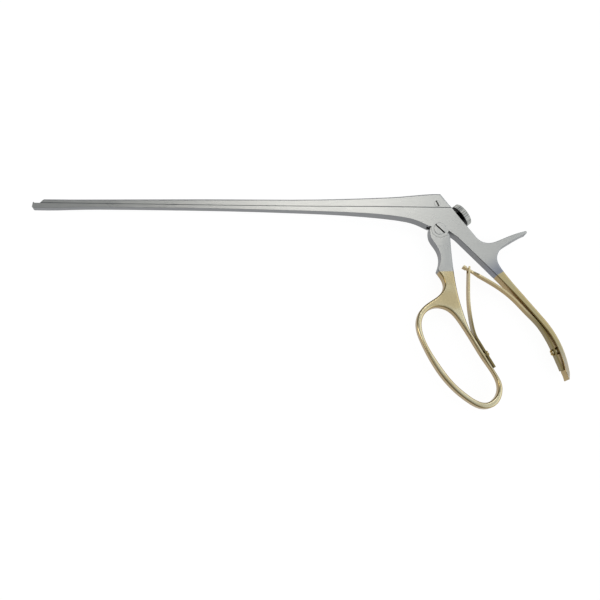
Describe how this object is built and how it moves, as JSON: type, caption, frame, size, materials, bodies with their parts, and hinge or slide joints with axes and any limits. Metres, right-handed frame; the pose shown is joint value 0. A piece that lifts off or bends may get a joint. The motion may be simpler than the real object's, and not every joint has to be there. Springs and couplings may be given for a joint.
{
  "type": "biopsy_punch_forceps",
  "caption": "Long sliding-shaft biopsy punch forceps with a sprung trigger ring, a bent rear handle with finger spur and a knurled thumb screw",
  "frame": {"origin": "On the trigger's pivot axis, at the level of the side face that the tool lies on", "axes": "+X from the biting tip to the handles along the shafts (the tip points to -X), +Y from the finger ring to the shafts, +Z across the tool, up when it lies on its side"},
  "size_m": [0.3128, 0.1275, 0.0142],
  "materials": {
    "polished_steel": "satin to mirror polished stainless steel",
    "gold_plate": "thin bright gold plating on spring steel"
  },
  "bodies": {
    "frame": {"fixed_shaft_and_handle": "polished_steel", "pivot_screw": "polished_steel", "rear_leaf_spring": "gold_plate", "rear_spring_screw": "gold_plate"},
    "trigger": {"trigger_with_finger_ring": "polished_steel", "front_leaf_spring": "gold_plate", "front_spring_screw": "gold_plate"},
    "slide": {"sliding_shaft": "polished_steel", "drive_screw": "polished_steel"},
    "stop_screw": {"stop_screw_stem": "polished_steel"},
    "knob": {"stop_screw_knob": "polished_steel"}
  },
  "joints": [
    {"name": "trigger_pivot", "type": "hinge", "parent": "frame", "child": "trigger", "pos_m": [0, 0, 0.0045], "axis": [0, 0, 1], "range_deg": [0, 12.8], "stiffness_Nm_per_rad": 1.5, "springref_deg": -20.05, "deforming": ["rear_leaf_spring", "front_leaf_spring"]},
    {"name": "slide_travel", "type": "slide", "parent": "frame", "child": "slide", "axis": [-1, 0, 0], "range_m": [0, 0.0036]},
    {"name": "stop_screw_travel", "type": "slide", "parent": "frame", "child": "stop_screw", "axis": [0.788, 0.6157, 0], "range_m": [0, 0.002]},
    {"name": "stop_screw_turn", "type": "hinge", "parent": "stop_screw", "child": "knob", "pos_m": [0.01157, 0.00777, 0.0045], "axis": [0.788, 0.6157, 0], "range_deg": [0, 720]}
  ],
  "couplings": [
    {"joint": "slide_travel", "follows": "trigger_pivot", "m_per_rad": 0.0161},
    {"joint": "stop_screw_turn", "follows": "stop_screw_travel", "rad_per_m": 6283}
  ]
}
